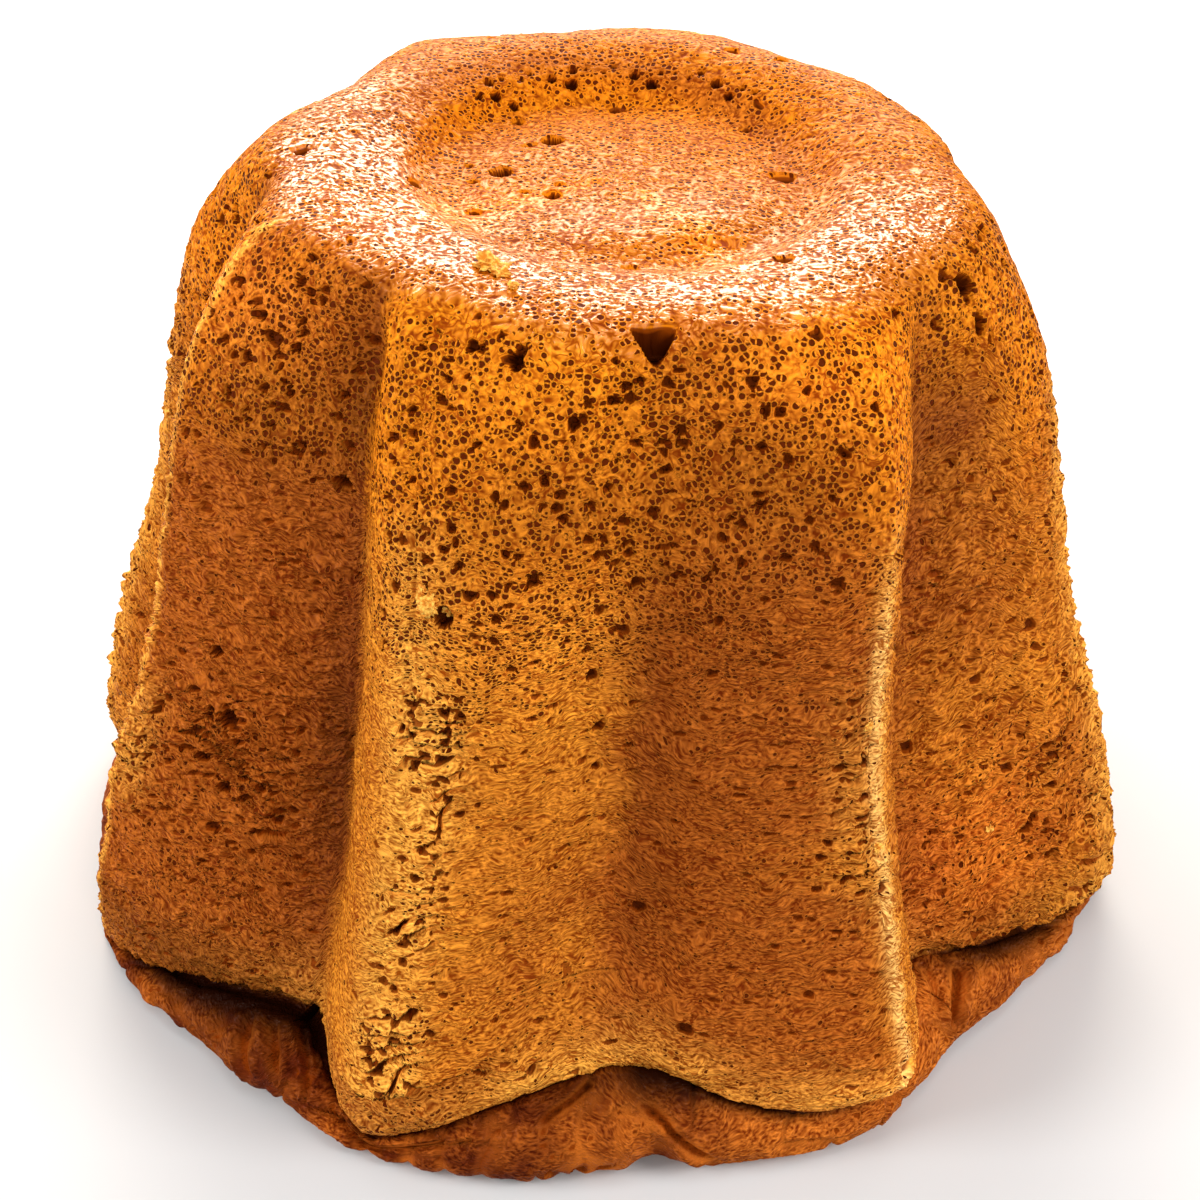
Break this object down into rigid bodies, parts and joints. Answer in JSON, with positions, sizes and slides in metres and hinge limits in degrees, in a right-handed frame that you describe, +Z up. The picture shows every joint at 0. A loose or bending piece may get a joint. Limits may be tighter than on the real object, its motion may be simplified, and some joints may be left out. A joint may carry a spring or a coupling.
{
  "type": "pandoro loaf",
  "caption": "Tall star-shaped sweet bread, turned out and standing on its rolled dark foot crust, with a shallow round dimple in its domed top.",
  "frame": {"origin": "on the floor, under the middle of the loaf's box", "axes": "+Z up, the front of the loaf faces -Y, +X to the right of the front"},
  "size_m": [0.2138, 0.206, 0.1526],
  "materials": {
    "golden_crust": "matte porous crust, satin on the top skin, darker and leathery on the foot",
    "crumb": "soft matt crumb"
  },
  "bodies": {
    "root": {"loaf": "golden_crust"}
  },
  "joints": []
}
